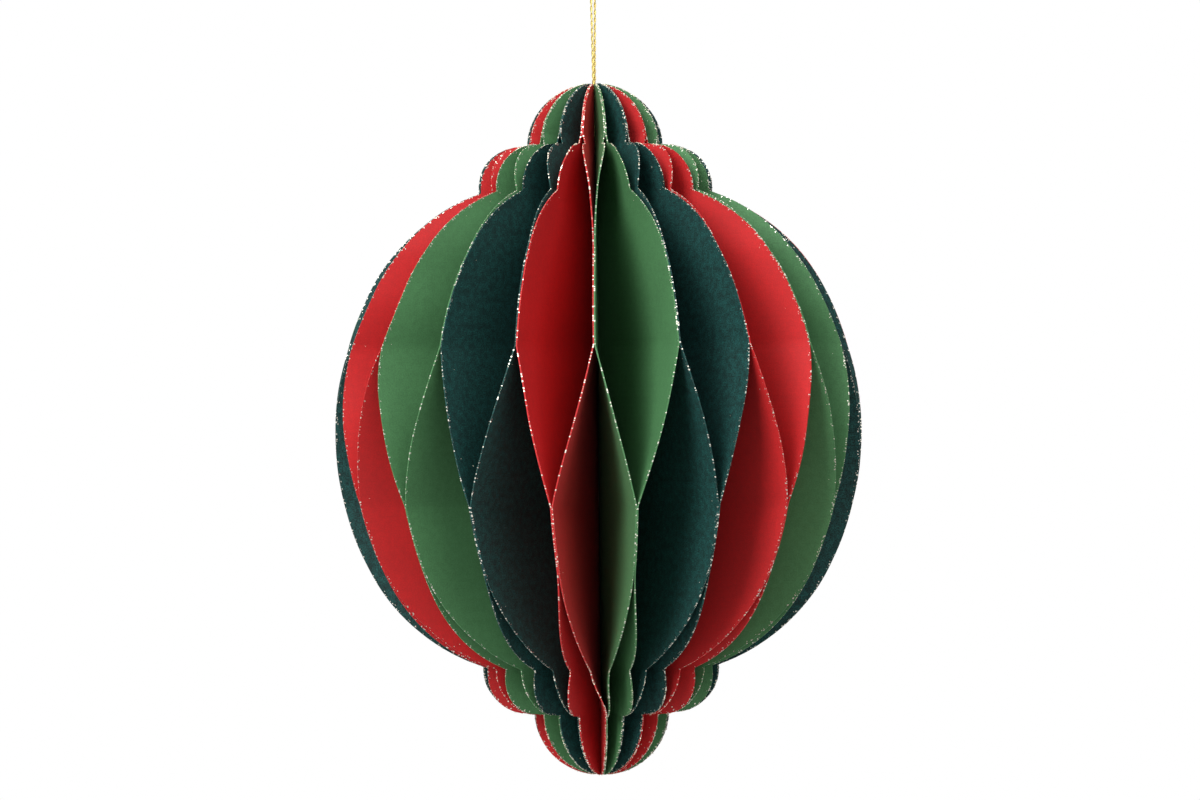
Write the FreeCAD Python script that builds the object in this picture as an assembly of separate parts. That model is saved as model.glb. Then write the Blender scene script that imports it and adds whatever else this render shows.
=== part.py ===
import FreeCAD, Part
import math
import os

# A hanging bauble of folded card. Eighteen sheets are cut to one outline, folded once down the
# middle and set round a hollow spine. Down its height each sheet is by turns shut, its own two
# leaves face to face, and wide open, each leaf flat against the next sheet's leaf. Glue holds it
# at those heights, and between them the leaves swing across in a gentle twist. A doubled cord is
# knotted inside the spine and leaves it at the top as a hanging loop. The sheets stand evenly
# round the spine, but further out they are drawn to the front, and most of all at the sides.
# Lengths are in millimetres and angles in degrees. The origin is the middle of the paper body,
# +Z is up along the spine and -Y is the front.

# The card and the ring of sheets
COLOURS = ("red", "green", "teal")
SHEETS_OF_EACH_COLOUR = 6
FRONT_TURN = -10.9              # turn of the first sheet's middle from the front, to the right
CARD_THICKNESS = 0.3
CROWDING = 4.45                 # lean to the front of the leaves that stand out to the sides
CROWDING_SHARE = 0.75           # share of the body's upper half that has all of it, from the middle

# The outline, the same above and below the middle: a body, a tier and a dome
BODY_HEIGHT = 102.3
BODY_RADIUS = 57.3
FLANK_CURVE = 66.4              # radius of the arc round the middle of the body
FLANK_HEIGHT = 61.0             # height of that arc, where a shoulder arc carries on from it
BODY_STEP = 0.5                 # how far the body's end stands out past the tier
TIER_HEIGHT = 10.3
TIER_RADIUS = 25.6
TIER_CORNER = 9.1               # radius of the tier's rounded corner
DOME_HEIGHT = 13.55
DOME_RADIUS = 14.75
DOME_TIP = 2.4                  # radius left flat round the spine at each end
STEP_SLOPE = 0.2                # height over which the outline steps in from one tier to the next

# Where the sheets are glued shut or open, and how a leaf swings between two such heights: as a
# power of the way that is left, or of the way gone
TOP_SHUT_MARGIN = 2.2           # from the top tier up to where the sheets are shut
UPPER_OPEN_START = 36.4
UPPER_OPEN_END = 17.9
LOWER_SHUT_START = -15.7
LOWER_SHUT_END = -28.5
TOP_EASE = 3.0
BOTTOM_EASE = 1.8

# The doubled cord, its knot in the spine and its loop
CORD_DIAMETER = 0.55
STRAND_GAP = 0.1                # between the two strands where they leave the spine
LOOP_TURN = 70.0                # turn of the loop's plane from the X axis
LOOP_HEIGHT = 25.0              # from the top of the paper to the top of the loop
LOOP_SIDE = 1.25                # each of the three short runs that round the loop over its hook
KNOT_DEPTH = 12.0               # from the top of the paper down to the knot
KNOT_HEIGHT = 3.6
KNOT_CLEARANCE = 0.05           # between the knot and the folds round it

# How finely curves are stepped
DOME_STEPS = 5
CORNER_STEPS = 3
HEIGHT_STEP = 5.2
FLAT_WITHIN = 1e-6              # four corners nearer a plane than this make one face
ARC_SHARE = 0.45                # of the shorter run, that a cord's arc takes at each of its ends

UP = FreeCAD.Vector(0, 0, 1)
ORIGIN = FreeCAD.Vector(0, 0, 0)

SHEET_COUNT = len(COLOURS) * SHEETS_OF_EACH_COLOUR
PITCH = 360.0 / SHEET_COUNT
WIDE_OPEN = PITCH / 2           # a leaf's swing from the shut sheet to the next sheet's leaf
FOLD_RADIUS = CARD_THICKNESS / math.tan(math.radians(WIDE_OPEN))    # where the leaves hinge
SPINE_RADIUS = FOLD_RADIUS - CARD_THICKNESS                         # the hollow inside the folds
NOSE_HALF_WIDTH = CARD_THICKNESS / 2

BODY_TOP = BODY_HEIGHT / 2
TIER_TOP = BODY_TOP + TIER_HEIGHT
DOME_TOP = TIER_TOP + DOME_HEIGHT
CORNER_CENTRE = TIER_TOP - TIER_CORNER
DOME_CURVE = DOME_HEIGHT / math.sqrt(1 - (DOME_TIP / DOME_RADIUS) ** 2)
TOP_SHUT_END = TIER_TOP + TOP_SHUT_MARGIN
BOTTOM_OPEN_START = -TIER_TOP

# The shoulder arc leaves the flank arc in line with it and ends at the body's top
FLANK_MIDDLE = BODY_RADIUS - FLANK_CURVE
FLANK_END = FLANK_HEIGHT / 2
FLANK_RISE = FLANK_END / FLANK_CURVE
FLANK_RUN = math.sqrt(1 - FLANK_RISE ** 2)
FLANK_END_RADIUS = FLANK_MIDDLE + FLANK_CURVE * FLANK_RUN
SHOULDER_IN = FLANK_END_RADIUS - TIER_RADIUS - BODY_STEP
SHOULDER_UP = BODY_TOP - FLANK_END
SHOULDER_CURVE = (SHOULDER_IN ** 2 + SHOULDER_UP ** 2) / (
    2 * (SHOULDER_IN * FLANK_RUN - SHOULDER_UP * FLANK_RISE)
)
SHOULDER_MIDDLE = FLANK_END_RADIUS - SHOULDER_CURVE * FLANK_RUN
SHOULDER_LEVEL = FLANK_END - SHOULDER_CURVE * FLANK_RISE


def half_chord(radius, offset):
    """Half the width of a circle at an offset from its middle."""
    return math.sqrt(max(radius ** 2 - offset ** 2, 0))


def outline_radius(height):
    """The distance of the cut edge from the spine's axis at a height."""
    level = abs(height)
    if level <= FLANK_END:
        return FLANK_MIDDLE + half_chord(FLANK_CURVE, level)
    if level <= BODY_TOP:
        return SHOULDER_MIDDLE + half_chord(SHOULDER_CURVE, level - SHOULDER_LEVEL)
    if level < BODY_TOP + STEP_SLOPE:
        return TIER_RADIUS + BODY_STEP * (1 - (level - BODY_TOP) / STEP_SLOPE)
    if level <= CORNER_CENTRE:
        return TIER_RADIUS
    if level <= TIER_TOP:
        return TIER_RADIUS - TIER_CORNER + half_chord(TIER_CORNER, level - CORNER_CENTRE)
    above = max(level - TIER_TOP, STEP_SLOPE)
    return DOME_RADIUS / DOME_CURVE * half_chord(DOME_CURVE, above)


def swing(height):
    """How far the leaves have swung open at a height, in degrees, from 0 where they are shut."""
    if height >= TOP_SHUT_END:
        return 0.0
    if height > UPPER_OPEN_START:
        left = (height - UPPER_OPEN_START) / (TOP_SHUT_END - UPPER_OPEN_START)
        return WIDE_OPEN * (1 - left ** TOP_EASE)
    if height >= UPPER_OPEN_END:
        return WIDE_OPEN
    if height > LOWER_SHUT_START:
        return WIDE_OPEN * (height - LOWER_SHUT_START) / (UPPER_OPEN_END - LOWER_SHUT_START)
    if height >= LOWER_SHUT_END:
        return 0.0
    if height > BOTTOM_OPEN_START:
        gone = (LOWER_SHUT_END - height) / (LOWER_SHUT_END - BOTTOM_OPEN_START)
        return WIDE_OPEN * gone ** BOTTOM_EASE
    return WIDE_OPEN


def lean(half_place, height):
    """How far a glued plane leans round the spine, in degrees to the right. Even half places are
    the middles of the sheets, and odd ones are where each sheet is glued to the next."""
    fade = (TOP_SHUT_END - height) / (TOP_SHUT_END - BODY_TOP * CROWDING_SHARE)
    share = min(max(fade, 0.0), 1.0)
    from_front = math.radians(FRONT_TURN + half_place * WIDE_OPEN)
    return -CROWDING * math.sin(from_front) * share


def leaf_lean(place, height, side):
    """The lean of one leaf, which passes from the sheet's own to that of the plane it is glued
    to as it swings open."""
    opened = swing(height) / WIDE_OPEN
    own = lean(2 * place, height)
    glued = lean(2 * place + side, height)
    return own * (1 - opened) + glued * opened


def outline_levels():
    """Levels above the middle at which the outline has a corner or a step of a curve."""
    dome_end = math.asin(DOME_HEIGHT / DOME_CURVE)
    dome = [
        TIER_TOP + DOME_CURVE * math.sin(dome_end * i / DOME_STEPS)
        for i in range(1, DOME_STEPS + 1)
    ]
    corner = [
        CORNER_CENTRE + TIER_CORNER * math.sin(math.pi / 2 * i / CORNER_STEPS)
        for i in range(CORNER_STEPS + 1)
    ]
    return [0.0, FLANK_END, BODY_TOP, BODY_TOP + STEP_SLOPE, *corner, TIER_TOP + STEP_SLOPE, *dome]


def cut_heights():
    """Every height at which a sheet's faces meet, from the bottom up."""
    levels = outline_levels()
    glue = [
        TOP_SHUT_END,
        UPPER_OPEN_START,
        UPPER_OPEN_END,
        LOWER_SHUT_START,
        LOWER_SHUT_END,
        BOTTOM_OPEN_START,
        BODY_TOP * CROWDING_SHARE,
    ]
    keys = sorted([*levels, *(-level for level in levels), *glue])
    heights = [keys[0]]
    for key in keys:
        start = heights[-1]
        rise = key - start
        if rise > STEP_SLOPE / 2:
            steps = math.ceil(rise / HEIGHT_STEP)
            heights += [start + rise * i / steps for i in range(1, steps)] + [key]
    return heights


def leaf_line(place, height, side):
    """The direction of one leaf's section and the depth of its card. Both leaves of a sheet are
    thinned alike by their lean, so that they meet in one plane where they are shut."""
    turn = math.radians(swing(height) + side * leaf_lean(place, height, side))
    mean = (leaf_lean(place, height, 1) + leaf_lean(place, height, -1)) / 2
    return turn, CARD_THICKNESS * math.cos(math.radians(mean))


def crease_corner(place, height):
    """Where the inner sides of a sheet's two leaves meet."""
    if swing(height) == 0:
        return FreeCAD.Vector(FOLD_RADIUS, 0, height)
    turn, depth = leaf_line(place, height, 1)
    other = leaf_line(place, height, -1)[0]
    x, y = FOLD_RADIUS + depth * math.sin(turn), CARD_THICKNESS - depth * math.cos(turn)
    other_x = FOLD_RADIUS + depth * math.sin(other)
    other_y = depth * math.cos(other) - CARD_THICKNESS
    across = (other_x - x) * math.sin(other) + (other_y - y) * math.cos(other)
    length = across / math.sin(turn + other)
    return FreeCAD.Vector(x + length * math.cos(turn), y + length * math.sin(turn), height)


def leaf_corners(place, height, side):
    """The four corners of one leaf's section: its fold corner, its rim outside and inside, and
    the crease where the two leaves meet. The sheet's place lies along +X, and side is 1 or -1.
    The rim is measured along the inner side, which both leaves share where they are shut."""
    turn, depth = leaf_line(place, height, side)
    along = (math.cos(turn), math.sin(turn))
    across = (-math.sin(turn), math.cos(turn))
    under = (FOLD_RADIUS - depth * across[0], CARD_THICKNESS - depth * across[1])
    start = under[0] * along[0] + under[1] * along[1]
    inside = under[0] ** 2 + under[1] ** 2
    reach = math.sqrt(start ** 2 - inside + outline_radius(height) ** 2) - start

    def corner(length, below):
        x = FOLD_RADIUS + length * along[0] - below * across[0]
        y = CARD_THICKNESS + length * along[1] - below * across[1]
        return FreeCAD.Vector(x, side * y, height)

    return corner(0, 0), corner(reach, 0), corner(reach, depth), crease_corner(place, height)


def flat_faces(*corners):
    """One face where the corners lie in a plane, and otherwise two triangles."""
    ring = Part.makePolygon([*corners, corners[0]])
    normal = (corners[1] - corners[0]).cross(corners[2] - corners[0])
    depth = abs((corners[-1] - corners[0]).dot(normal.normalize()))
    if len(corners) == 4 and depth > FLAT_WITHIN:
        return flat_faces(*corners[:3]) + flat_faces(corners[0], corners[2], corners[3])
    return [Part.Face(ring)]


def leaf_faces(near, far, far_up, near_up, closing):
    """One side of a leaf between two heights. Where it twists, both sides of the leaf are cut
    along one diagonal, which keeps its thickness. It starts at the rim where the leaves close
    upwards and at the fold where they open, so no triangle lies in both leaves."""
    if closing:
        return flat_faces(far, far_up, near_up, near)
    return flat_faces(near, far, far_up, near_up)


def nose_corner(height, side):
    return FreeCAD.Vector(SPINE_RADIUS, side * NOSE_HALF_WIDTH, height)


def sheet_end(place, height):
    """The flat end of a sheet at the top or bottom, as a closed outline of its section."""
    fold, outer, inner, crease = leaf_corners(place, height, 1)
    mirror_fold, mirror_outer, mirror_inner, _ = leaf_corners(place, height, -1)
    corners = [nose_corner(height, 1), fold, outer]
    if swing(height) > 0:
        corners += [inner, crease, mirror_inner]
    corners += [mirror_outer, mirror_fold, nose_corner(height, -1)]
    return Part.Face(Part.makePolygon([*corners, corners[0]]))


def make_sheet(place):
    """The folded sheet at a place round the spine, with that place along +X."""
    heights = cut_heights()
    faces = [sheet_end(place, heights[0]), sheet_end(place, heights[-1])]
    for low, high in zip(heights, heights[1:]):
        nose = [(low, 1), (low, -1), (high, -1), (high, 1)]
        faces += flat_faces(*(nose_corner(height, side) for height, side in nose))
        closing = swing(high) < swing(low)
        for side in (1, -1):
            fold, outer, inner, crease = leaf_corners(place, low, side)
            fold_up, outer_up, inner_up, crease_up = leaf_corners(place, high, side)
            faces += flat_faces(nose_corner(low, side), fold, fold_up, nose_corner(high, side))
            faces += leaf_faces(fold, outer, outer_up, fold_up, closing)
            faces += flat_faces(outer, inner, inner_up, outer_up)
            if swing(low) > 0 or swing(high) > 0:
                faces += leaf_faces(crease, inner, inner_up, crease_up, closing)
    shell = Part.makeShell(faces)
    shell.sewShape()
    solid = Part.makeSolid(shell)
    if solid.Volume < 0:
        solid.reverse()
    return solid.removeSplitter()


def cord_route():
    """The cord's points from the knot up one strand, over the hook and down the other."""
    strand = (CORD_DIAMETER + STRAND_GAP) / 2
    top = DOME_TOP + LOOP_HEIGHT - CORD_DIAMETER / 2
    slant = LOOP_SIDE * math.sqrt(0.5)
    one_side = [
        (-strand, DOME_TOP - KNOT_DEPTH),
        (-strand, DOME_TOP),
        (-LOOP_SIDE / 2 - slant, top - slant),
        (-LOOP_SIDE / 2, top),
    ]
    flat = one_side + [(-across, height) for across, height in reversed(one_side)]
    turn = math.radians(LOOP_TURN)
    return [FreeCAD.Vector(s * math.cos(turn), s * math.sin(turn), height) for s, height in flat]


def rounded_path(points):
    """Straight runs joined by tangent arcs, each arc as large as its two runs allow."""
    edges = []
    start = points[0]
    for before, corner, after in zip(points, points[1:], points[2:]):
        back = (before - corner).normalize()
        ahead = (after - corner).normalize()
        half_turn = (math.pi - back.getAngle(ahead)) / 2
        cut = ARC_SHARE * min((corner - before).Length, (after - corner).Length)
        radius = cut / math.tan(half_turn)
        middle_way = (back + ahead).normalize()
        to_centre = radius / math.cos(half_turn)
        arc_start = corner + back * cut
        arc_middle = corner + middle_way * (to_centre - radius)
        arc_end = corner + ahead * cut
        edges.append(Part.LineSegment(start, arc_start).toShape())
        edges.append(Part.Arc(arc_start, arc_middle, arc_end).toShape())
        print(f"cord arc radius {radius:.2f} mm")
        start = arc_end
    edges.append(Part.LineSegment(start, points[-1]).toShape())
    return Part.Wire(edges)


def make_cord():
    path = rounded_path(cord_route())
    start = path.Edges[0].firstVertex().Point
    radius = CORD_DIAMETER / 2
    section = Part.Wire(Part.makeCircle(radius, start, UP))
    cord = path.makePipeShell([section], True, True)
    ideal = math.pi * radius ** 2 * path.Length
    print(f"cord length {path.Length:.1f} mm, volume {cord.Volume / ideal:.4f} of section by length")
    return cord


def make_knot():
    """A rounded knot that fills the spine, with its flat top where the two strands end."""
    radius = SPINE_RADIUS - KNOT_CLEARANCE
    top = DOME_TOP - KNOT_DEPTH
    knot = Part.makeCylinder(radius, KNOT_HEIGHT, FreeCAD.Vector(0, 0, top - KNOT_HEIGHT), UP)
    return knot.makeFillet(radius / 2, [knot.Edges[0], knot.Edges[2]])


def write(node, shape):
    solid = shape.Solids[0]
    if len(shape.Solids) != 1 or not solid.isValid() or solid.Volume <= 0:
        raise ValueError(f"{node} isn't one sound solid")
    solid.exportStep(f"parts/{node}.step")


def main():
    os.makedirs("parts", exist_ok=True)
    for place in range(SHEET_COUNT):
        colour = COLOURS[place % len(COLOURS)]
        number = place // len(COLOURS) + 1
        from_front = FRONT_TURN + place * PITCH
        sheet = make_sheet(place)
        sheet.rotate(ORIGIN, UP, from_front - 90)
        write(f"{colour}_sheet_{number}", sheet)
    write("hanging_cord", make_cord())
    write("cord_knot", make_knot())


main()
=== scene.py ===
import math
import random

import bmesh
import bpy
from mathutils import Euler, Matrix, Vector, kdtree, noise


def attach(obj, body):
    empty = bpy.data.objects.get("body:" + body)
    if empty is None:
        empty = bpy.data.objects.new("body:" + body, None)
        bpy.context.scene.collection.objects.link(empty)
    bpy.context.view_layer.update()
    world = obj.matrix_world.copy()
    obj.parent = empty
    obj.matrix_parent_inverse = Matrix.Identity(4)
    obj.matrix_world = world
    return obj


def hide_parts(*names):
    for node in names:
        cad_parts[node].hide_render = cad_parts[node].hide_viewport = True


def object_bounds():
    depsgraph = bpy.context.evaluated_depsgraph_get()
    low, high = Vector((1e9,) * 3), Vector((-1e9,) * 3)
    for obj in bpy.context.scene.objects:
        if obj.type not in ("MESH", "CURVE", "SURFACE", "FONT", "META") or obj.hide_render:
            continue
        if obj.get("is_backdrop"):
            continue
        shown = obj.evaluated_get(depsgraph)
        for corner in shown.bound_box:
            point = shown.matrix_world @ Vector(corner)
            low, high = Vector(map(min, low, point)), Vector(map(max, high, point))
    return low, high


bl_info = {
    "name": "Folded card bauble",
    "version": (1, 0, 0),
    "blender": (4, 5, 0),
    "location": "View3D > Sidebar > Bauble",
    "description": "Dresses a hanging bauble of folded card with grain, glitter and a gold cord",
    "category": "Object",
}

# Lengths are in metres and angles in radians, unless a name says degrees. The origin is the
# middle of the paper body, +Z is up along the spine and -Y is the front.

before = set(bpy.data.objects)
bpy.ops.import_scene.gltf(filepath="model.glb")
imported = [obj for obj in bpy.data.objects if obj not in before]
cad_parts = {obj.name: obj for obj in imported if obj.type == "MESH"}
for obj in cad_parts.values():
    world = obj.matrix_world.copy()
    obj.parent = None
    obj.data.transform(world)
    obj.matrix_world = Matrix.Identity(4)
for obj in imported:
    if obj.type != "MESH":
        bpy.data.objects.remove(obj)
CAD_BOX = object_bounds()

MM = 0.001
BODY = "root"
COLOURS = ("red", "green", "teal")
SHEETS_OF_EACH_COLOUR = 6
SHEET_COUNT = len(COLOURS) * SHEETS_OF_EACH_COLOUR
PITCH = 2 * math.pi / SHEET_COUNT
WIDE_OPEN = PITCH / 2
FRONT_TURN = math.radians(-10.9)     # turn of the first sheet's middle from the front, to the right

# Heights where the sheets are glued open or shut, and how the leaves ease between them
TOP_SHUT_MARGIN = 2.2 * MM
UPPER_OPEN_START = 36.4 * MM
UPPER_OPEN_END = 17.9 * MM
LOWER_SHUT_START = -15.7 * MM
LOWER_SHUT_END = -28.5 * MM
TOP_EASE = 3.0
BOTTOM_EASE = 1.8
STEP_SLOPE = 0.2 * MM                # height over which the outline steps in to the next tier

LEAN_SHARE = 0.75                    # share of the body's half height past which the leans fade

# Single glued edges that stand off their leaning place, in degrees to the right. They are counted
# from the one nearest the front, and those to its left are below 0.
BODY_FAULTS = {-4: -1.2, -3: -1.0, -2: 1.6, -1: 1.1, 1: 0.8, 2: -1.0, 4: -1.5}
DOME_FAULTS = {0: 4.9}

# How much further the outermost ones lean in the body's upper half, and the heights between
# which that comes in
UPPER_FAULTS = {-4: 6.0, -3: 3.8, 4: -2.6}
UPPER_FAULT_START = 6 * MM
UPPER_FAULT_END = 30 * MM

# Slow waves along the height: how long each is, and a seed that keeps it apart from the others
SLIP_SEED = 3.3
LEAN_WAVE = 28 * MM
LEAN_SEED = 1.1
CUT_WAVE = 9 * MM
CUT_SEED = 5.9
RIPPLE_WAVE = 20 * MM
RIPPLE_SEED = 8.2
BEAD_WAVE = 12 * MM
BEAD_SEED = 12.5

# The card's skin
RIM_STEP = 0.3 * MM                  # largest step between the points of the cut edge
SHARP_CARD = 35                      # degrees between two faces that make an edge sharp
CARD_UV_SCALE = 10                   # texture units to a metre of card
SHEET_UV_SHIFT = 2.37                # what sets one sheet's texture apart from the next one's
LEAF_UV_SHIFT = 1.1

# The glitter
BEAD_SPREAD = 0.38                   # spread of the beads' widths, as a natural logarithm
BEAD_SWING = 0.4                     # how far the share of edge with a bead rises and falls
END_BEADS_START = -2 * MM            # heights from the body's top where the end beads take over
END_BEADS_END = 1 * MM
STRAY_LIMIT = 0.3                    # share of a leaf from its fold that has no strays
STRAY_WIDTH = 0.9                    # width of a stray, as a share of its bead's or an end bead's
HANDFUL = 60                         # beads that are made at a time

# The doubled cord
STRAND_GAP = 0.1 * MM
LOOP_TURN = math.radians(70.0)
LOOP_HEIGHT = 25.0 * MM
LOOP_SIDE = 1.25 * MM
KNOT_DEPTH = 12.0 * MM
KNOT_HEIGHT = 3.6 * MM
KNOT_CLEARANCE = 0.05 * MM
KNOT_WIDTH = 0.9                     # width of the tied cord, as a share of the loose cord
KNOT_POINTS = 48
KNOT_WINDINGS = 2
KNOT_LOBES = 3
PLY_WIDTH = 0.54                     # width of one ply, as a share of the cord
PLY_STEP = 0.2 * MM
SHARP_CORD = 60                      # degrees between two faces that make an edge sharp

# The stage
CAMERA_SIDE = 0.46 * MM
CAMERA_HEIGHT = 6.3 * MM
CAMERA_ROLL = math.radians(0.7)
CAMERA_CLIP = 100
LAMP_DISTANCE = 1.1
FLOOR_REACH = 0.5                    # distance at which the floor has faded to plain white
FLOOR_SIZE = 12


def length_setting(name, default, description):
    """A length that the sidebar shows in the scene's own units."""
    return bpy.props.FloatProperty(
        name=name, description=description, default=default, min=0, unit="LENGTH", precision=5
    )


def colour_setting(name, default, description):
    return bpy.props.FloatVectorProperty(
        name=name, description=description, default=default, size=3, min=0, max=1, subtype="COLOR"
    )


def share_setting(name, default, description):
    return bpy.props.FloatProperty(
        name=name, description=description, default=default, min=0, max=1, subtype="FACTOR"
    )


class BaubleCard(bpy.types.PropertyGroup):
    """The folded sheets: their outline, their card and how neatly they are made."""

    gauge: length_setting("Gauge", 0.3 * MM, "Room that each leaf has between its neighbours")
    thickness: length_setting("Card", 0.27 * MM, "Thickness of the card itself")
    body_height: length_setting("Body height", 102.3 * MM, "Height of the round body")
    body_radius: length_setting("Body radius", 57.3 * MM, "Radius of the body at its middle")
    flank_curve: length_setting("Flank curve", 66.4 * MM, "Radius of the arc round the middle")
    flank_height: length_setting("Flank height", 61.0 * MM, "Height of the arc round the middle")
    body_step: length_setting("Body step", 0.5 * MM, "How far the body stands out past the tier")
    tier_height: length_setting("Tier height", 10.3 * MM, "Height of each tier beyond the body")
    tier_radius: length_setting("Tier radius", 25.6 * MM, "Radius of each tier")
    tier_corner: length_setting("Tier corner", 9.1 * MM, "Radius of a tier's rounded corner")
    dome_height: length_setting("Dome height", 13.55 * MM, "Height of each dome beyond its tier")
    dome_radius: length_setting("Dome radius", 14.75 * MM, "Radius of each dome where it starts")
    dome_tip: length_setting("Dome tip", 2.4 * MM, "Radius left flat round the spine")
    row_height: length_setting("Row height", 1.3 * MM, "Largest height of one row of faces")
    columns: bpy.props.IntProperty(
        name="Columns", description="Faces from the fold to the cut edge", default=8, min=2
    )
    lean: bpy.props.FloatProperty(
        name="Lean",
        description="How far a glued edge may stand off its even place",
        default=math.radians(0.45),
        subtype="ANGLE",
    )
    crowding: bpy.props.FloatProperty(
        name="Crowding",
        description="How far the leaves that stand out to the sides lean to the front",
        default=math.radians(4.45),
        subtype="ANGLE",
    )
    ripple: length_setting("Ripple", 0.25 * MM, "Depth of the waves where a leaf is free")
    cut_wander: length_setting("Cut wander", 0.09 * MM, "How far the cut edge strays")
    sheet_slip: length_setting("Sheet slip", 0.16 * MM, "How far a sheet is glued too high or low")
    red: colour_setting("Red card", (0.50, 0.0035, 0.0048), "Colour of the red sheets")
    green: colour_setting("Green card", (0.065, 0.194, 0.073), "Colour of the green sheets")
    teal: colour_setting("Teal card", (0.005, 0.043, 0.039), "Colour of the dark teal sheets")


class BaubleGlitter(bpy.types.PropertyGroup):
    """The glitter glued along every cut edge."""

    spacing: length_setting("Spacing", 0.3 * MM, "Average distance between beads on an edge")
    bead: length_setting("Bead", 0.085 * MM, "Width of a middling bead on the body")
    end_bead: length_setting("End bead", 0.2 * MM, "Width of a middling bead on a tier or dome")
    largest: length_setting("Largest bead", 0.42 * MM, "Width that no bead is over")
    body_share: share_setting("Body share", 0.36, "Share of the body's cut edges with a bead")
    end_share: share_setting("End share", 0.52, "Share of the other cut edges with a bead")
    stray_reach: length_setting("Stray reach", 1.6 * MM, "How far in most stray beads lie")
    stray_share: share_setting("Stray share", 0.05, "Share of the beads that lie on the card")
    colour: colour_setting("Colour", (0.88, 0.84, 0.74), "Colour of the glitter")
    seed: bpy.props.IntProperty(name="Seed", description="Seed of the scatter", default=7)


class BaubleCord(bpy.types.PropertyGroup):
    """The doubled gold cord and its knot."""

    diameter: length_setting("Diameter", 0.55 * MM, "Width of the twisted cord")
    twist: length_setting("Twist", 3.2 * MM, "Length of one full turn of the two plies")
    gold: colour_setting("Gold", (0.78, 0.63, 0.21), "Colour of the gold thread")


class BaubleStage(bpy.types.PropertyGroup):
    """The floor, the lamps and the camera."""

    floor_drop: length_setting("Floor drop", 45 * MM, "From the bauble's lowest point to the floor")
    floor: colour_setting("Floor", (0.86, 0.86, 0.86), "Colour of the pale floor")
    camera_distance: length_setting("Camera distance", 1.15, "From the camera to the spine")
    view_width: length_setting("View width", 261.2 * MM, "Width of the view at the bauble")
    key_power: bpy.props.FloatProperty(
        name="Key lamp", description="Power of the lamp at the left", default=13.5, subtype="POWER"
    )
    fill_power: bpy.props.FloatProperty(
        name="Fill lamp", description="Power of the lamp at the right", default=6.3, subtype="POWER"
    )
    ambient: bpy.props.FloatProperty(
        name="Ambient", description="Strength of the light from all round", default=0.01, min=0
    )


def half_chord(radius, offset):
    """Half the width of a circle at an offset from its middle."""
    return math.sqrt(max(radius ** 2 - offset ** 2, 0))


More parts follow.
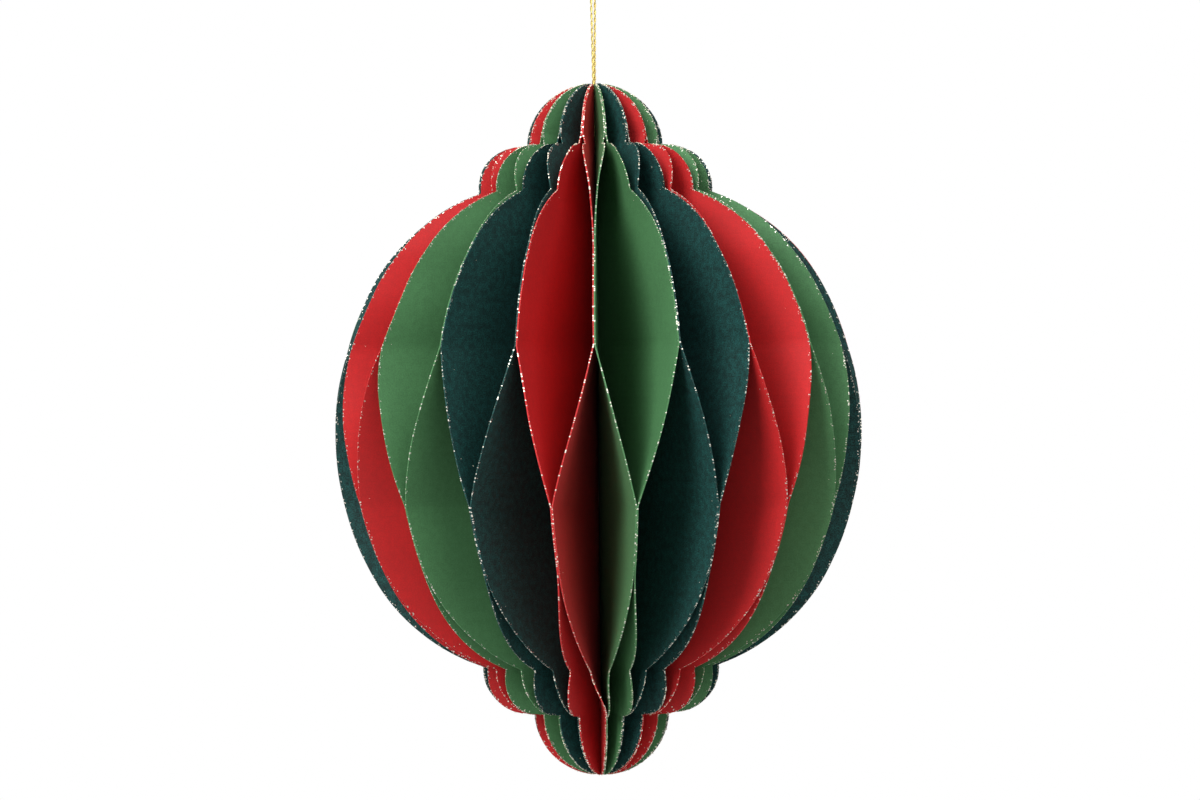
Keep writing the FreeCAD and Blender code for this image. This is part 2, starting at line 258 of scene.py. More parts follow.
class Outline:
    """The cut edge of the sheets and the swing of their leaves at each height."""

    def __init__(self, card):
        self.tier_radius = card.tier_radius
        self.tier_corner = card.tier_corner
        self.body_step = card.body_step
        self.dome_radius = card.dome_radius
        self.body_top = card.body_height / 2
        self.tier_top = self.body_top + card.tier_height
        self.dome_top = self.tier_top + card.dome_height
        self.corner_centre = self.tier_top - card.tier_corner
        self.dome_curve = card.dome_height / math.sqrt(1 - (card.dome_tip / card.dome_radius) ** 2)
        self.dome_height = card.dome_height
        self.top_shut_end = self.tier_top + TOP_SHUT_MARGIN
        self.row_height = card.row_height
        # The shoulder arc leaves the flank arc in line with it and ends at the body's top
        self.flank_curve = card.flank_curve
        self.flank_middle = card.body_radius - card.flank_curve
        self.flank_end = card.flank_height / 2
        rise = self.flank_end / card.flank_curve
        run = math.sqrt(1 - rise ** 2)
        end_radius = self.flank_middle + card.flank_curve * run
        inward = end_radius - card.tier_radius - card.body_step
        upward = self.body_top - self.flank_end
        self.shoulder_curve = (inward ** 2 + upward ** 2) / (2 * (inward * run - upward * rise))
        self.shoulder_middle = end_radius - self.shoulder_curve * run
        self.shoulder_level = self.flank_end - self.shoulder_curve * rise

    def radius(self, height):
        """The distance of the cut edge from the spine's axis."""
        level = abs(height)
        if level <= self.flank_end:
            return self.flank_middle + half_chord(self.flank_curve, level)
        if level <= self.body_top:
            arc = half_chord(self.shoulder_curve, level - self.shoulder_level)
            return self.shoulder_middle + arc
        if level < self.body_top + STEP_SLOPE:
            return self.tier_radius + self.body_step * (1 - (level - self.body_top) / STEP_SLOPE)
        if level <= self.corner_centre:
            return self.tier_radius
        if level <= self.tier_top:
            arc = half_chord(self.tier_corner, level - self.corner_centre)
            return self.tier_radius - self.tier_corner + arc
        above = max(level - self.tier_top, STEP_SLOPE)
        return self.dome_radius / self.dome_curve * half_chord(self.dome_curve, above)

    def swing(self, height):
        """How far the leaves are open, from 0 where they are shut to 1 at the next sheet."""
        if height >= self.top_shut_end:
            return 0.0
        if height > UPPER_OPEN_START:
            left = (height - UPPER_OPEN_START) / (self.top_shut_end - UPPER_OPEN_START)
            return 1 - left ** TOP_EASE
        if height >= UPPER_OPEN_END:
            return 1.0
        if height > LOWER_SHUT_START:
            return (height - LOWER_SHUT_START) / (UPPER_OPEN_END - LOWER_SHUT_START)
        if height >= LOWER_SHUT_END:
            return 0.0
        if height > -self.tier_top:
            gone = (LOWER_SHUT_END - height) / (LOWER_SHUT_END + self.tier_top)
            return gone ** BOTTOM_EASE
        return 1.0

    def levels(self):
        """Heights of the sections from the bottom up, close together where the edge curves."""
        corner_steps = 9
        dome_steps = 14
        dome_end = math.asin(self.dome_height / self.dome_curve)
        keys = [0.0, self.flank_end, self.body_top, self.body_top + STEP_SLOPE]
        for i in range(corner_steps + 1):
            turn = math.pi / 2 * i / corner_steps
            keys.append(self.corner_centre + self.tier_corner * math.sin(turn))
        keys.append(self.tier_top + STEP_SLOPE)
        for i in range(1, dome_steps + 1):
            keys.append(self.tier_top + self.dome_curve * math.sin(dome_end * i / dome_steps))
        glue = [self.top_shut_end, UPPER_OPEN_START, UPPER_OPEN_END]
        glue += [LOWER_SHUT_START, LOWER_SHUT_END]
        keys = sorted([*keys, *(-key for key in keys), *glue])
        heights = [keys[0]]
        for key in keys[1:]:
            start = heights[-1]
            if key - start > STEP_SLOPE / 2:
                steps = math.ceil((key - start) / self.row_height)
                heights += [start + (key - start) * i / steps for i in range(1, steps + 1)]
        return heights


def smooth_step(start, end, value):
    """From 0 at the start to 1 at the end, with no corner at either."""
    share = min(max((value - start) / (end - start), 0.0), 1.0)
    return share * share * (3 - 2 * share)


def wander(place, height, length, seed):
    """A slow wave from -1 to 1 along the height, its own for each place round the spine."""
    return noise.noise(Vector((place * 7.31 + seed, height / length, seed * 1.7))) * 1.6


class Sheet:
    """One folded sheet at its place round the spine, with its own small faults."""

    def __init__(self, place, card, outline):
        self.place = place
        self.card = card
        self.outline = outline
        self.colour = COLOURS[place % len(COLOURS)]
        self.node = f"{self.colour}_sheet_{place // len(COLOURS) + 1}"
        self.turn = FRONT_TURN + place * PITCH - math.pi / 2
        self.fold_radius = card.gauge / math.tan(WIDE_OPEN)
        self.slip = card.sheet_slip * wander(place, 0.0, 1.0, SLIP_SEED)

    def plane_lean(self, half_place, height):
        """How far a glued plane is turned from its even place. Even half places are the middles
        of the sheets, and odd ones are where each sheet is glued to the next."""
        outline = self.outline
        full_up_to = outline.body_top * LEAN_SHARE
        fade = (outline.top_shut_end - height) / (outline.top_shut_end - full_up_to)
        from_front = FRONT_TURN + half_place * WIDE_OPEN
        lean = -self.card.crowding * math.sin(from_front) * min(max(fade, 0.0), 1.0)
        lean += self.card.lean * wander(half_place, height, LEAN_WAVE, LEAN_SEED)
        if half_place % 2:
            pair = (half_place - 1) // 2 % SHEET_COUNT
            if pair > SHEET_COUNT // 2:
                pair -= SHEET_COUNT
            in_body = smooth_step(outline.tier_top, full_up_to, abs(height))
            in_upper = smooth_step(UPPER_FAULT_START, UPPER_FAULT_END, height) * in_body
            in_dome = smooth_step(-outline.body_top, -outline.tier_top, height)
            lean += math.radians(BODY_FAULTS.get(pair, 0.0)) * in_body
            lean += math.radians(UPPER_FAULTS.get(pair, 0.0)) * in_upper
            lean += math.radians(DOME_FAULTS.get(pair, 0.0)) * in_dome
        return lean

    def leaf_lean(self, height, side, share):
        """How far a leaf is turned from its even place. Leaves that are glued turn together."""
        own = self.plane_lean(2 * self.place, height)
        glued = self.plane_lean((2 * self.place + side) % (2 * SHEET_COUNT), height)
        return own * (1 - share) + glued * share

    def leaf_line(self, height, side):
        """The direction of one leaf's section, and how much of the card's gauge is left to it
        where a sheet's two leaves meet in one leaning plane."""
        share = self.outline.swing(height)
        leans = [self.leaf_lean(height, each, share) for each in (1, -1)]
        turn = WIDE_OPEN * share + side * leans[0 if side == 1 else 1]
        return turn, math.cos(sum(leans) / 2)

    def leaf_point(self, height, side, fraction, depth):
        """A point of a leaf, from its fold at fraction 0 to the cut edge at 1, at a depth into
        the leaf's room from its outer side."""
        share = self.outline.swing(height)
        turn, thinning = self.leaf_line(height, side)
        gauge = self.card.gauge
        under = (self.fold_radius + gauge * math.sin(turn), gauge - gauge * math.cos(turn))
        start = under[0] * math.cos(turn) + under[1] * math.sin(turn)
        inside = under[0] ** 2 + under[1] ** 2
        rim = self.outline.radius(height)
        rim += self.card.cut_wander * wander(self.place, height, CUT_WAVE, CUT_SEED + side)
        length = (math.sqrt(start ** 2 - inside + rim ** 2) - start) * fraction
        free = 4 * share * (1 - share) * fraction
        wave = wander(self.place, height, RIPPLE_WAVE, RIPPLE_SEED + side)
        depth = depth * thinning + self.card.ripple * free * wave
        across = self.fold_radius + length * math.cos(turn) + depth * math.sin(turn)
        aside = gauge + length * math.sin(turn) - depth * math.cos(turn)
        point = Vector((across, side * aside, height + self.slip))
        return Matrix.Rotation(self.turn, 3, "Z") @ point

    def crease(self, height):
        """Where the inner sides of the sheet's two leaves meet, seen along the sheet's place."""
        gauge = self.card.gauge
        if self.outline.swing(height) == 0:
            return Vector((self.fold_radius, 0, height + self.slip))
        turn, thinning = self.leaf_line(height, 1)
        other = self.leaf_line(height, -1)[0]
        depth = gauge * thinning
        start = (self.fold_radius + depth * math.sin(turn), gauge - depth * math.cos(turn))
        gap = (depth * (math.sin(other) - math.sin(turn)), depth * math.cos(other) - gauge - start[1])
        length = (gap[0] * math.sin(other) + gap[1] * math.cos(other)) / math.sin(turn + other)
        across = start[0] + length * math.cos(turn)
        return Vector((across, start[1] + length * math.sin(turn), height + self.slip))

    def section(self, height):
        """The ring of points round the folded card at a height, each with its side and fraction."""
        columns = self.card.columns
        spare = (self.card.gauge - self.card.thickness) / 2
        steps = [i / columns for i in range(columns + 1)]
        ring = []
        upright = Matrix.Rotation(self.turn, 3, "Z")
        for side in (1, -1):
            outer = [(self.leaf_point(height, side, step, spare), side, step) for step in steps]
            ring += outer[::-side]
            if side == 1:
                nose = self.fold_radius - self.card.gauge
                for nose_side in (0.5, -0.5):
                    corner = Vector((nose, nose_side * self.card.gauge, height + self.slip))
                    ring.append((upright @ corner, nose_side, 0.0))
        inner_depth = self.card.gauge - spare
        for side in (-1, 1):
            inner = [
                (self.leaf_point(height, side, step, inner_depth), side, step)
                for step in steps[1:]
            ]
            ring += inner[::side]
            if side == -1:
                ring.append((upright @ self.crease(height), 0, 0.0))
        return ring


def mark_sharp(bm, degrees):
    """Smooth faces, with sharp edges where two of them meet at more than the angle."""
    for face in bm.faces:
        face.smooth = True
    for edge in bm.edges:
        edge.smooth = len(edge.link_faces) == 2 and edge.calc_face_angle(0) < math.radians(degrees)


def show_piece(name, bm, materials):
    """Makes a mesh object from a bmesh and lets it ride with the body."""
    mesh = bpy.data.meshes.new(name)
    bm.to_mesh(mesh)
    bm.free()
    for material in materials:
        mesh.materials.append(material)
    piece = bpy.data.objects.new(name, mesh)
    bpy.context.scene.collection.objects.link(piece)
    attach(piece, BODY)
    return piece


def rim_line(outline):
    """The cut edge as points of radius and height, for measuring how near a point is to it."""
    heights = outline.levels()
    points = []
    for low, high in zip(heights, heights[1:]):
        start, end = Vector((outline.radius(low), low, 0)), Vector((outline.radius(high), high, 0))
        steps = max(1, math.ceil((end - start).length / RIM_STEP))
        points += [start.lerp(end, i / steps) for i in range(steps)]
    tree = kdtree.KDTree(len(points))
    for i, point in enumerate(points):
        tree.insert(point, i)
    tree.balance()
    return tree


def fold_sheet(sheet, tree):
    """The folded sheet as one closed skin: a grid is wrapped round its sections, its first and
    last columns are welded and its two ends are filled."""
    heights = sheet.outline.levels()
    rings = [sheet.section(height) for height in heights]
    around = len(rings[0])
    rows = len(heights) - 1
    bm = bmesh.new()
    bmesh.ops.create_grid(bm, x_segments=around, y_segments=rows, size=1)
    bm.verts.ensure_lookup_table()
    nearness = bm.verts.layers.float.new("edge_distance")
    columns = {}
    for vert in bm.verts:
        column = round((vert.co.x + 1) / 2 * around)
        row = round((vert.co.y + 1) / 2 * rows)
        columns[column, row] = vert
        point = rings[row][column % around][0]
        vert.co = point
        radial = Vector((math.hypot(point.x, point.y), heights[row], 0))
        vert[nearness] = tree.find(radial)[2] / MM
    surface = bm.loops.layers.uv.new("card")
    place_of = {vert: key for key, vert in columns.items()}
    for face in bm.faces:
        for loop in face.loops:
            column, row = place_of[loop.vert]
            point, side, _ = rings[row][column % around]
            across = math.hypot(point.x, point.y)
            shift = sheet.place * SHEET_UV_SHIFT + (LEAF_UV_SHIFT if side > 0 else 0.0)
            loop[surface].uv = (across * CARD_UV_SCALE + shift, heights[row] * CARD_UV_SCALE)
    welded = {columns[around, row]: columns[0, row] for row in range(rows + 1)}
    bmesh.ops.weld_verts(bm, targetmap=welded)
    bmesh.ops.holes_fill(bm, edges=[edge for edge in bm.edges if edge.is_boundary], sides=0)
    bmesh.ops.recalc_face_normals(bm, faces=bm.faces)
    mark_sharp(bm, SHARP_CARD)
    return bm


class OBJECT_OT_bauble_sheets(bpy.types.Operator):
    """Folds the eighteen card sheets and sets them round the spine"""

    bl_idname = "object.bauble_sheets"
    bl_label = "Fold the card sheets"
    bl_options = {"REGISTER", "UNDO"}

    def execute(self, context):
        card = context.scene.bauble_card
        outline = Outline(card)
        tree = rim_line(outline)
        glitter = context.scene.bauble_glitter
        finishes = {
            "red": card_material("red_card", card.red, glitter.colour, 0.10, 0.63),
            "green": card_material("green_card", card.green, glitter.colour, 0.13, 0.4),
            "teal": card_material("teal_card", card.teal, glitter.colour, 0.75, 0.34),
        }
        for place in range(SHEET_COUNT):
            sheet = Sheet(place, card, outline)
            bm = fold_sheet(sheet, tree)
            piece = show_piece(f"folded_{sheet.node}", bm, [finishes[sheet.colour]])
            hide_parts(sheet.node)
        return {"FINISHED"}


def edge_walk(sheet, spacing, dice):
    """Places along a leaf's cut edge, as heights at uneven steps of its length."""
    heights = sheet.outline.levels()
    left = dice.uniform(0, spacing)
    for low, high in zip(heights, heights[1:]):
        rise = high - low
        run = math.hypot(rise, sheet.outline.radius(high) - sheet.outline.radius(low))
        while left < run:
            yield low + rise * left / run
            left += spacing * dice.uniform(0.55, 1.45)
        left -= run


def add_bead(bm, place, width, dice):
    """One small faceted bead, turned any way."""
    turn = Euler([dice.uniform(0, 2 * math.pi) for _ in range(3)]).to_matrix().to_4x4()
    squash = Matrix.Diagonal((1, dice.uniform(0.75, 1), dice.uniform(0.5, 0.9), 1))
    matrix = Matrix.Translation(place) @ turn @ squash
    bmesh.ops.create_icosphere(bm, subdivisions=1, radius=width / 2, matrix=matrix)


def beads_along(sheet, side, glitter, dice):
    """Places and widths of the beads on one cut edge, and of the strays on the card beside it."""
    outline = sheet.outline
    gauge = sheet.card.gauge
    for height in edge_walk(sheet, glitter.spacing, dice):
        past = abs(height) - outline.body_top
        end = smooth_step(END_BEADS_START, END_BEADS_END, past)
        middling = glitter.bead * (1 - end) + glitter.end_bead * end
        width = min(middling * math.exp(dice.gauss(0, BEAD_SPREAD)), glitter.largest)
        crowd = wander(sheet.place, height, BEAD_WAVE, BEAD_SEED + side)
        share = glitter.body_share * (1 - end) + glitter.end_share * end + BEAD_SWING * crowd
        if dice.random() > share:
            continue
        rim = sheet.leaf_point(height, side, 1.0, gauge * dice.uniform(0.15, 0.85))
        outward = Vector((rim.x, rim.y, 0)).normalized() * width * dice.uniform(-0.2, 0.2)
        yield rim + outward, width
        if dice.random() < glitter.stray_share * (1 + 2 * max(crowd, 0)):
            inward = dice.expovariate(1 / glitter.stray_reach)
            fraction = 1 - inward / max(outline.radius(height), 2 * MM)
            if fraction > STRAY_LIMIT:
                place = sheet.leaf_point(height, side, fraction, dice.choice((0.0, gauge)))
                yield place, max(width, glitter.end_bead) * STRAY_WIDTH


def glitter_sheet(sheet, glitter, dice):
    """The beads of a sheet, made a handful at a time and then gathered."""
    beads = [bead for side in (1, -1) for bead in beads_along(sheet, side, glitter, dice)]
    gathered = bmesh.new()
    for start in range(0, len(beads), HANDFUL):
        few = bmesh.new()
        for place, width in beads[start:start + HANDFUL]:
            add_bead(few, place, width, dice)
        mesh = bpy.data.meshes.new("handful")
        few.to_mesh(mesh)
        few.free()
        gathered.from_mesh(mesh)
        bpy.data.meshes.remove(mesh)
    return gathered


class OBJECT_OT_bauble_glitter(bpy.types.Operator):
    """Glues glitter along every cut edge, with a few strays on the card"""

    bl_idname = "object.bauble_glitter"
    bl_label = "Glue the glitter"
    bl_options = {"REGISTER", "UNDO"}

    def execute(self, context):
        card = context.scene.bauble_card
        glitter = context.scene.bauble_glitter
        outline = Outline(card)
        sparkle = glitter_material(glitter.colour)
        dice = random.Random(glitter.seed)
        for place in range(SHEET_COUNT):
            sheet = Sheet(place, card, outline)
            bm = glitter_sheet(sheet, glitter, dice)
            show_piece(f"glitter_{sheet.node}", bm, [sparkle])
        return {"FINISHED"}


def cord_route(cord, card):
    """The cord's points from the knot up one strand, over the hook and down the other."""
    dome_top = Outline(card).dome_top
    strand = (cord.diameter + STRAND_GAP) / 2
    top = dome_top + LOOP_HEIGHT - cord.diameter / 2
    slant = LOOP_SIDE * math.sqrt(0.5)
    one_side = [
        (-strand, dome_top - KNOT_DEPTH),
        (-strand, dome_top),
        (-LOOP_SIDE / 2 - slant, top - slant),
        (-LOOP_SIDE / 2, top),
    ]
    flat = one_side + [(-across, height) for across, height in reversed(one_side)]
    across, ahead = math.cos(LOOP_TURN), math.sin(LOOP_TURN)
    return [Vector((s * across, s * ahead, height)) for s, height in flat]


def curve_of(name, lines, thickness, order):
    """A curve object's data with one open spline for each line of points."""
    curve = bpy.data.curves.new(name, "CURVE")
    curve.dimensions = "3D"
    curve.resolution_u = 24
    curve.bevel_depth = thickness / 2
    curve.bevel_resolution = 3
    curve.use_fill_caps = thickness > 0
    for points in lines:
        spline = curve.splines.new("NURBS" if order > 2 else "POLY")
        spline.points.add(len(points) - 1)
        for point, place in zip(spline.points, points):
            point.co = (*place, 1)
        if order > 2:
            spline.order_u = order
            spline.use_endpoint_u = True
    return curve


def mesh_of(curve):
    """The mesh that a curve makes."""
    holder = bpy.data.objects.new(curve.name, curve)
    bpy.context.scene.collection.objects.link(holder)
    bpy.context.view_layer.update()
    mesh = bpy.data.meshes.new_from_object(holder)
    bpy.data.objects.remove(holder)
    return mesh


def read_line(points):
    """Evenly read points down the middle of the smooth line that the route's points shape."""
    mesh = mesh_of(curve_of("cord_route", [points], 0, 3))
    line = [vert.co.copy() for vert in mesh.vertices]
    bpy.data.meshes.remove(mesh)
    return line


def wound_round(line, offset, twist, start, step):
    """A ply's points, wound round a line at an offset from it."""
    travelled = 0.0
    aside = (line[1] - line[0]).orthogonal().normalized()
    ply = []
    for here, after in zip(line, line[1:]):
        ahead = (after - here).normalized()
        aside = (aside - ahead * aside.dot(ahead)).normalized()
        run = (after - here).length
        pieces = max(1, math.ceil(run / step))
        for i in range(pieces):
            turn = start + 2 * math.pi * (travelled + run * i / pieces) / twist
            arm = aside * math.cos(turn) + ahead.cross(aside) * math.sin(turn)
            ply.append(here.lerp(after, i / pieces) + arm * offset)
        travelled += run
    return ply


class OBJECT_OT_bauble_cord(bpy.types.Operator):
    """Twists the doubled gold cord and ties its knot inside the spine"""

    bl_idname = "object.bauble_cord"
    bl_label = "Hang the gold cord"
    bl_options = {"REGISTER", "UNDO"}

    def execute(self, context):
        cord = context.scene.bauble_cord
        card = context.scene.bauble_card
        gold = gold_thread_material(cord.gold)
        line = read_line(cord_route(cord, card))
        length = sum((b - a).length for a, b in zip(line, line[1:]))
        ply_width = cord.diameter * PLY_WIDTH
        offset = (cord.diameter - ply_width) / 2
        plies = [
            wound_round(line, offset, cord.twist, turn, PLY_STEP) for turn in (0.0, math.pi)
        ]
        strands = mesh_of(curve_of("twisted_cord", plies, ply_width, 2))
        bm = bmesh.new()
        bm.from_mesh(strands)
        bmesh.ops.recalc_face_normals(bm, faces=bm.faces)
        mark_sharp(bm, SHARP_CORD)
        piece = show_piece("twisted_cord", bm, [gold])
        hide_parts("hanging_cord")

        outline = Outline(card)
        spine_radius = card.gauge / math.tan(WIDE_OPEN) - card.gauge
        knot = show_piece("tied_knot", tie_knot(cord, outline, spine_radius), [gold])
        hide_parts("cord_knot")
        return {"FINISHED"}


def tie_knot(cord, outline, spine_radius):
    """A tight knot of the same cord, drawn long so that it fills the spine."""
    width = cord.diameter * KNOT_WIDTH
    reach = spine_radius - KNOT_CLEARANCE - width / 2
    top = outline.dome_top - KNOT_DEPTH
    middle = top - KNOT_HEIGHT / 2
    half_height = (KNOT_HEIGHT - width) / 2
    loop = []
    for i in range(KNOT_POINTS + 1):
        turn = 2 * math.pi * i / KNOT_POINTS
        across = reach * (0.62 + 0.38 * math.cos(KNOT_LOBES * turn))
        lift = half_height * math.sin(KNOT_LOBES * turn)
        winding = KNOT_WINDINGS * turn
        loop.append((across * math.cos(winding), across * math.sin(winding), middle + lift))
    bm = bmesh.new()
    bm.from_mesh(mesh_of(curve_of("tied_knot", [loop], width, 2)))
    bmesh.ops.recalc_face_normals(bm, faces=bm.faces)
    mark_sharp(bm, SHARP_CORD)
    return bm


def new_material(name):
    material = bpy.data.materials.new(name)
    material.use_nodes = True
    nodes = material.node_tree.nodes
    return material, nodes, material.node_tree.links, nodes["Principled BSDF"]


def node(tree_nodes, kind, **values):
    """A new node with its inputs set by name, or by their place where a name says input_N."""
    made = tree_nodes.new(kind)
    for name, value in values.items():
        if name.startswith("input_"):
            made.inputs[int(name[6:])].default_value = value
        elif hasattr(made, name):
            setattr(made, name, value)
        else:
            made.inputs[name.replace("_", " ")].default_value = value
    return made


def card_material(name, colour, glitter_colour, grain_depth, specular):
    """Matt dyed card: a fine mottled grain, soft clouds, a faint woven texture, and glitter dust
    close to the cut edges."""
    material, nodes, links, shader = new_material(name)
    surface = node(nodes, "ShaderNodeUVMap", uv_map="card")
    near = node(nodes, "ShaderNodeAttribute", attribute_name="edge_distance")

    def speckle(scale, detail, rough, low, high, tops=(0.3, 0.7)):
        """Noise on the card's own surface, as a factor between two values."""
        noise_node = node(nodes, "ShaderNodeTexNoise", Scale=scale, Detail=detail, Roughness=rough)
        noise_node.noise_dimensions = "2D"
        links.new(surface.outputs["UV"], noise_node.inputs["Vector"])
        factor = node(nodes, "ShaderNodeMapRange", input_1=tops[0], input_2=tops[1])
        factor.inputs[3].default_value = low
        factor.inputs[4].default_value = high
        links.new(noise_node.outputs["Fac"], factor.inputs[0])
        return factor.outputs[0], noise_node.outputs["Fac"]

    grain, grain_height = speckle(330, 2.0, 0.6, 1 - grain_depth, 1 + grain_depth)
    mottle, _ = speckle(70, 2.0, 0.5, 1 - grain_depth * 0.45, 1 + grain_depth * 0.45)
    cloud, _ = speckle(6, 1.0, 0.5, 0.95, 1.05)
    weave_parts = []
    for direction in ("X", "Y"):
        wave = node(nodes, "ShaderNodeTexWave", Scale=28, Distortion=3.0, Detail=1.0)
        wave.bands_direction = direction
        wave.inputs["Detail Scale"].default_value = 3
        links.new(surface.outputs["UV"], wave.inputs["Vector"])
        weave_parts.append(wave.outputs["Fac"])
    weave = node(nodes, "ShaderNodeMath", operation="ADD")
    links.new(weave_parts[0], weave.inputs[0])
    links.new(weave_parts[1], weave.inputs[1])
    weave_tone = node(
        nodes, "ShaderNodeMapRange", input_1=0.0, input_2=2.0, input_3=0.985, input_4=1.015
    )
    links.new(weave.outputs[0], weave_tone.inputs[0])

    tone = grain
    for other in (mottle, cloud, weave_tone.outputs[0]):
        product = node(nodes, "ShaderNodeMath", operation="MULTIPLY")
        links.new(tone, product.inputs[0])
        links.new(other, product.inputs[1])
        tone = product.outputs[0]
    dyed = node(nodes, "ShaderNodeVectorMath", operation="SCALE", input_0=tuple(colour))
    links.new(tone, dyed.inputs["Scale"])

    # Glitter dust: scattered cells, thickest at the cut edge and gone half a millimetre in from it
    cells = node(nodes, "ShaderNodeTexVoronoi", Scale=420)
    cells.voronoi_dimensions = "2D"
    links.new(surface.outputs["UV"], cells.inputs["Vector"])
    picked = node(nodes, "ShaderNodeSeparateColor")
    links.new(cells.outputs["Color"], picked.inputs[0])
    fade = node(nodes, "ShaderNodeMapRange", input_1=0.0, input_2=0.55, input_3=0.12, input_4=0.0)
    links.new(near.outputs["Fac"], fade.inputs[0])
    dusted = node(nodes, "ShaderNodeMath", operation="LESS_THAN")
    links.new(picked.outputs[0], dusted.inputs[0])
    links.new(fade.outputs[0], dusted.inputs[1])
    painted = node(nodes, "ShaderNodeMix", data_type="RGBA")
    links.new(dusted.outputs[0], painted.inputs[0])
    links.new(dyed.outputs[0], painted.inputs[6])
    painted.inputs[7].default_value = (*glitter_colour, 1)
    links.new(painted.outputs[2], shader.inputs["Base Color"])

    metal = node(nodes, "ShaderNodeMath", operation="MULTIPLY", input_1=0.7)
    links.new(dusted.outputs[0], metal.inputs[0])
    links.new(metal.outputs[0], shader.inputs["Metallic"])
    roughness = node(nodes, "ShaderNodeMapRange", input_1=0.0, input_2=1.0, input_3=0.72, input_4=0.4)
    links.new(dusted.outputs[0], roughness.inputs[0])
    links.new(roughness.outputs[0], shader.inputs["Roughness"])
    shader.inputs["Specular IOR Level"].default_value = specular

    bump = node(nodes, "ShaderNodeBump", Strength=0.35, Distance=0.03 * MM)
    links.new(grain_height, bump.inputs["Height"])
    ribs = node(nodes, "ShaderNodeBump", Strength=0.1, Distance=0.03 * MM)
    links.new(weave.outputs[0], ribs.inputs["Height"])
    links.new(bump.outputs[0], ribs.inputs["Normal"])
    links.new(ribs.outputs[0], shader.inputs["Normal"])
    return material


def glitter_material(colour):
    """Pale champagne glitter, from silver white to light gold from bead to bead."""
    material, nodes, links, shader = new_material("champagne_glitter")
    place = node(nodes, "ShaderNodeTexCoord")
    tint = node(nodes, "ShaderNodeTexNoise", Scale=2600, Detail=1.0)
    links.new(place.outputs["Object"], tint.inputs["Vector"])
    ramp = nodes.new("ShaderNodeValToRGB")
    ramp.color_ramp.elements[0].position = 0.35
    ramp.color_ramp.elements[0].color = (colour[0] * 0.75, colour[1] * 0.66, colour[2] * 0.5, 1)
    ramp.color_ramp.elements[1].position = 0.62
    ramp.color_ramp.elements[1].color = (*colour, 1)
    links.new(tint.outputs["Fac"], ramp.inputs[0])
    links.new(ramp.outputs[0], shader.inputs["Base Color"])
    shader.inputs["Metallic"].default_value = 0.75
    grit = node(nodes, "ShaderNodeMapRange", input_1=0.3, input_2=0.7, input_3=0.22, input_4=0.5)
    links.new(tint.outputs["Fac"], grit.inputs[0])
    links.new(grit.outputs[0], shader.inputs["Roughness"])
    return material


def gold_thread_material(colour):
    """Metallic gold thread, with fine fibres across it."""
    material, nodes, links, shader = new_material("gold_thread")
    place = node(nodes, "ShaderNodeTexCoord")
    fibre = node(nodes, "ShaderNodeTexNoise", Scale=5200, Detail=2.0)
    links.new(place.outputs["Object"], fibre.inputs["Vector"])
    ramp = nodes.new("ShaderNodeValToRGB")
    ramp.color_ramp.elements[0].position = 0.3
    ramp.color_ramp.elements[0].color = (colour[0] * 0.7, colour[1] * 0.62, colour[2] * 0.5, 1)
    ramp.color_ramp.elements[1].position = 0.65
    ramp.color_ramp.elements[1].color = (*colour, 1)
    links.new(fibre.outputs["Fac"], ramp.inputs[0])
    links.new(ramp.outputs[0], shader.inputs["Base Color"])
    shader.inputs["Metallic"].default_value = 0.6
    shader.inputs["Roughness"].default_value = 0.32
    bump = node(nodes, "ShaderNodeBump", Strength=0.5, Distance=0.02 * MM)
    links.new(fibre.outputs["Fac"], bump.inputs["Height"])
    links.new(bump.outputs[0], shader.inputs["Normal"])
    return material


def floor_material(colour, reach):
    """A pale floor that keeps the bauble's shadow and fades to plain white away from it."""
    material, nodes, links, shader = new_material("pale_floor")
    nodes.remove(shader)
    place = node(nodes, "ShaderNodeTexCoord")
    away = node(nodes, "ShaderNodeVectorMath", operation="LENGTH")
    links.new(place.outputs["Object"], away.inputs[0])
    fade = node(nodes, "ShaderNodeMapRange", input_1=reach * 0.35, input_2=reach)
    fade.interpolation_type = "SMOOTHSTEP"
    links.new(away.outputs["Value"], fade.inputs[0])
    seen = node(nodes, "ShaderNodeLightPath")
    factor = node(nodes, "ShaderNodeMath", operation="MULTIPLY")
    links.new(fade.outputs[0], factor.inputs[0])
    links.new(seen.outputs["Is Camera Ray"], factor.inputs[1])
    matt = node(nodes, "ShaderNodeBsdfDiffuse", Color=(*colour, 1))
    white = node(nodes, "ShaderNodeEmission", Color=(1, 1, 1, 1), Strength=1.0)
    blend = nodes.new("ShaderNodeMixShader")
    links.new(factor.outputs[0], blend.inputs[0])
    links.new(matt.outputs[0], blend.inputs[1])
    links.new(white.outputs[0], blend.inputs[2])
    # The underside lets the view through, so the bauble can be seen from below
    clear = nodes.new("ShaderNodeBsdfTransparent")
    side = nodes.new("ShaderNodeNewGeometry")
    sides = nodes.new("ShaderNodeMixShader")
    links.new(side.outputs["Backfacing"], sides.inputs[0])
    links.new(blend.outputs[0], sides.inputs[1])
    links.new(clear.outputs[0], sides.inputs[2])
    links.new(sides.outputs[0], nodes["Material Output"].inputs["Surface"])
    return material


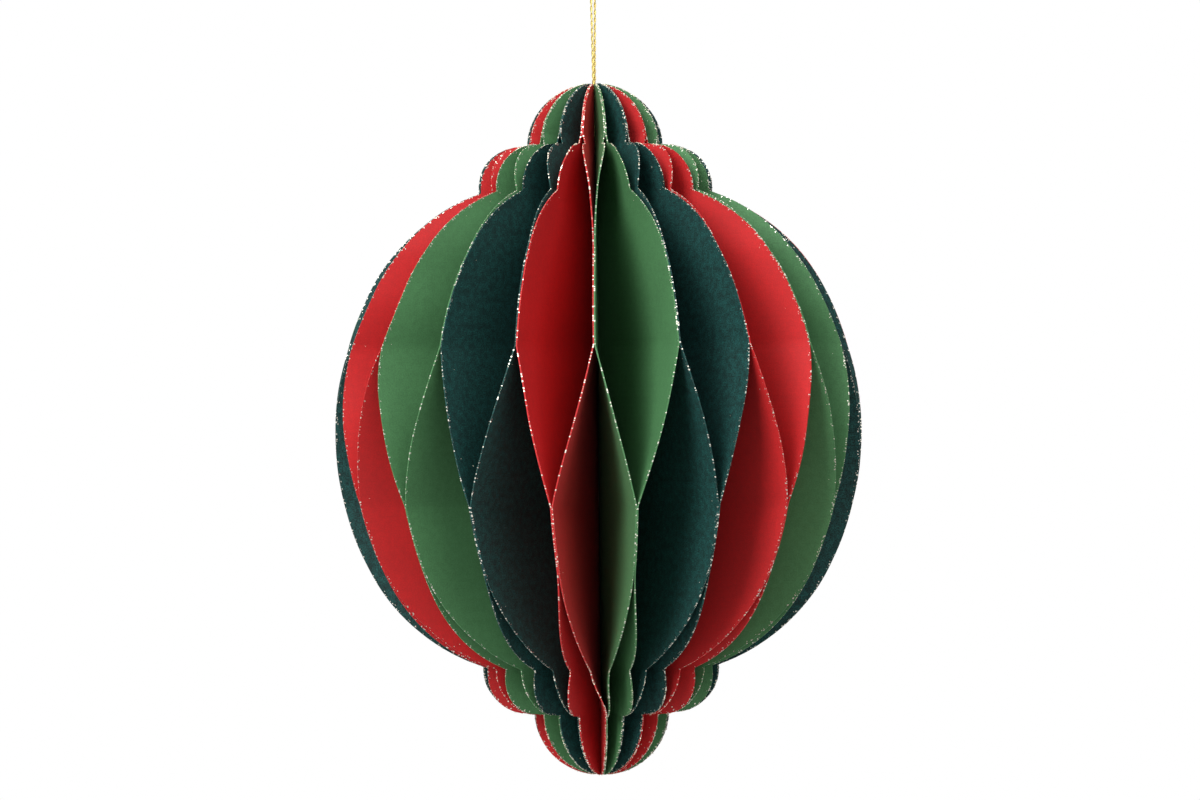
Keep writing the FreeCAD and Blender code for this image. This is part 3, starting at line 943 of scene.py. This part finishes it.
def set_world(ambient):
    """White to the camera and to glossy things, and a faint grey light on everything else."""
    world = bpy.data.worlds.new("studio")
    world.use_nodes = True
    nodes = world.node_tree.nodes
    links = world.node_tree.links
    background = nodes["Background"]
    background.inputs["Color"].default_value = (1, 1, 1, 1)
    seen = node(nodes, "ShaderNodeLightPath")
    direct = node(nodes, "ShaderNodeMath", operation="MAXIMUM")
    links.new(seen.outputs["Is Camera Ray"], direct.inputs[0])
    links.new(seen.outputs["Is Glossy Ray"], direct.inputs[1])
    clear = node(nodes, "ShaderNodeMath", operation="MAXIMUM")
    links.new(direct.outputs[0], clear.inputs[0])
    links.new(seen.outputs["Is Transmission Ray"], clear.inputs[1])
    strength = node(nodes, "ShaderNodeMapRange", input_1=0.0, input_2=1.0, input_3=ambient, input_4=1.0)
    links.new(clear.outputs[0], strength.inputs[0])
    links.new(strength.outputs[0], background.inputs["Strength"])
    bpy.context.scene.world = world


def add_lamp(name, power, size, azimuth, elevation):
    """A soft rectangular lamp that faces the bauble. Its angles are in degrees, and azimuth runs
    from the front to the right."""
    data = bpy.data.lights.new(name, "AREA")
    data.shape = "RECTANGLE"
    data.energy = power
    data.size, data.size_y = size
    lamp = bpy.data.objects.new(name, data)
    around, up = math.radians(azimuth), math.radians(elevation)
    away = Vector((math.sin(around) * math.cos(up), -math.cos(around) * math.cos(up), math.sin(up)))
    lamp.location = away * LAMP_DISTANCE
    lamp.rotation_euler = away.to_track_quat("Z", "Y").to_euler()
    lamp.visible_camera = False
    bpy.context.scene.collection.objects.link(lamp)


class OBJECT_OT_bauble_stage(bpy.types.Operator):
    """Sets the camera, the lamps, the white surroundings and the pale floor"""

    bl_idname = "object.bauble_stage"
    bl_label = "Set the stage"
    bl_options = {"REGISTER", "UNDO"}

    def execute(self, context):
        scene = context.scene
        stage = scene.bauble_stage
        data = bpy.data.cameras.new("camera")
        data.lens = data.sensor_width * stage.camera_distance / stage.view_width
        data.clip_end = CAMERA_CLIP
        camera = bpy.data.objects.new("camera", data)
        camera.location = (CAMERA_SIDE, -stage.camera_distance, CAMERA_HEIGHT)
        camera.rotation_euler = (math.radians(90), CAMERA_ROLL, 0)
        scene.collection.objects.link(camera)
        scene.camera = camera

        add_lamp("key_lamp", stage.key_power, size=(0.5, 0.9), azimuth=-32, elevation=31)
        add_lamp("fill_lamp", stage.fill_power, size=(0.8, 0.9), azimuth=30, elevation=45)
        set_world(stage.ambient)

        bm = bmesh.new()
        bmesh.ops.create_grid(bm, x_segments=1, y_segments=1, size=FLOOR_SIZE)
        mesh = bpy.data.meshes.new("floor")
        bm.to_mesh(mesh)
        bm.free()
        mesh.materials.append(floor_material(stage.floor, FLOOR_REACH))
        floor = bpy.data.objects.new("floor", mesh)
        floor.location.z = CAD_BOX[0].z - stage.floor_drop
        scene.collection.objects.link(floor)
        floor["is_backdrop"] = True

        scene.view_settings.view_transform = "Standard"
        return {"FINISHED"}


OPERATORS = (
    OBJECT_OT_bauble_stage,
    OBJECT_OT_bauble_cord,
    OBJECT_OT_bauble_sheets,
    OBJECT_OT_bauble_glitter,
)
SETTINGS = {
    "bauble_card": BaubleCard,
    "bauble_glitter": BaubleGlitter,
    "bauble_cord": BaubleCord,
    "bauble_stage": BaubleStage,
}


class VIEW3D_PT_bauble(bpy.types.Panel):
    """The bauble's settings and the steps that make it"""

    bl_idname = "VIEW3D_PT_bauble"
    bl_label = "Folded card bauble"
    bl_space_type = "VIEW_3D"
    bl_region_type = "UI"
    bl_category = "Bauble"

    def draw(self, context):
        for operator in OPERATORS:
            self.layout.operator(operator.bl_idname)
        for name in SETTINGS:
            group = getattr(context.scene, name)
            box = self.layout.box()
            for setting in group.bl_rna.properties.keys():
                if setting not in {"rna_type", "name"}:
                    box.prop(group, setting)


def register():
    for kind in (*SETTINGS.values(), *OPERATORS, VIEW3D_PT_bauble):
        bpy.utils.register_class(kind)
    for name, kind in SETTINGS.items():
        setattr(bpy.types.Scene, name, bpy.props.PointerProperty(type=kind))


def unregister():
    for name in SETTINGS:
        delattr(bpy.types.Scene, name)
    for kind in reversed((*SETTINGS.values(), *OPERATORS, VIEW3D_PT_bauble)):
        bpy.utils.unregister_class(kind)


def main():
    register()
    bpy.ops.object.bauble_stage()
    bpy.ops.object.bauble_cord()
    bpy.ops.object.bauble_sheets()
    bpy.ops.object.bauble_glitter()
    boxes = {"cad": CAD_BOX, "visual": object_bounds()}
    {name: [list(corner) for corner in box] for name, box in boxes.items()}


if __name__ == "__main__":
    main()
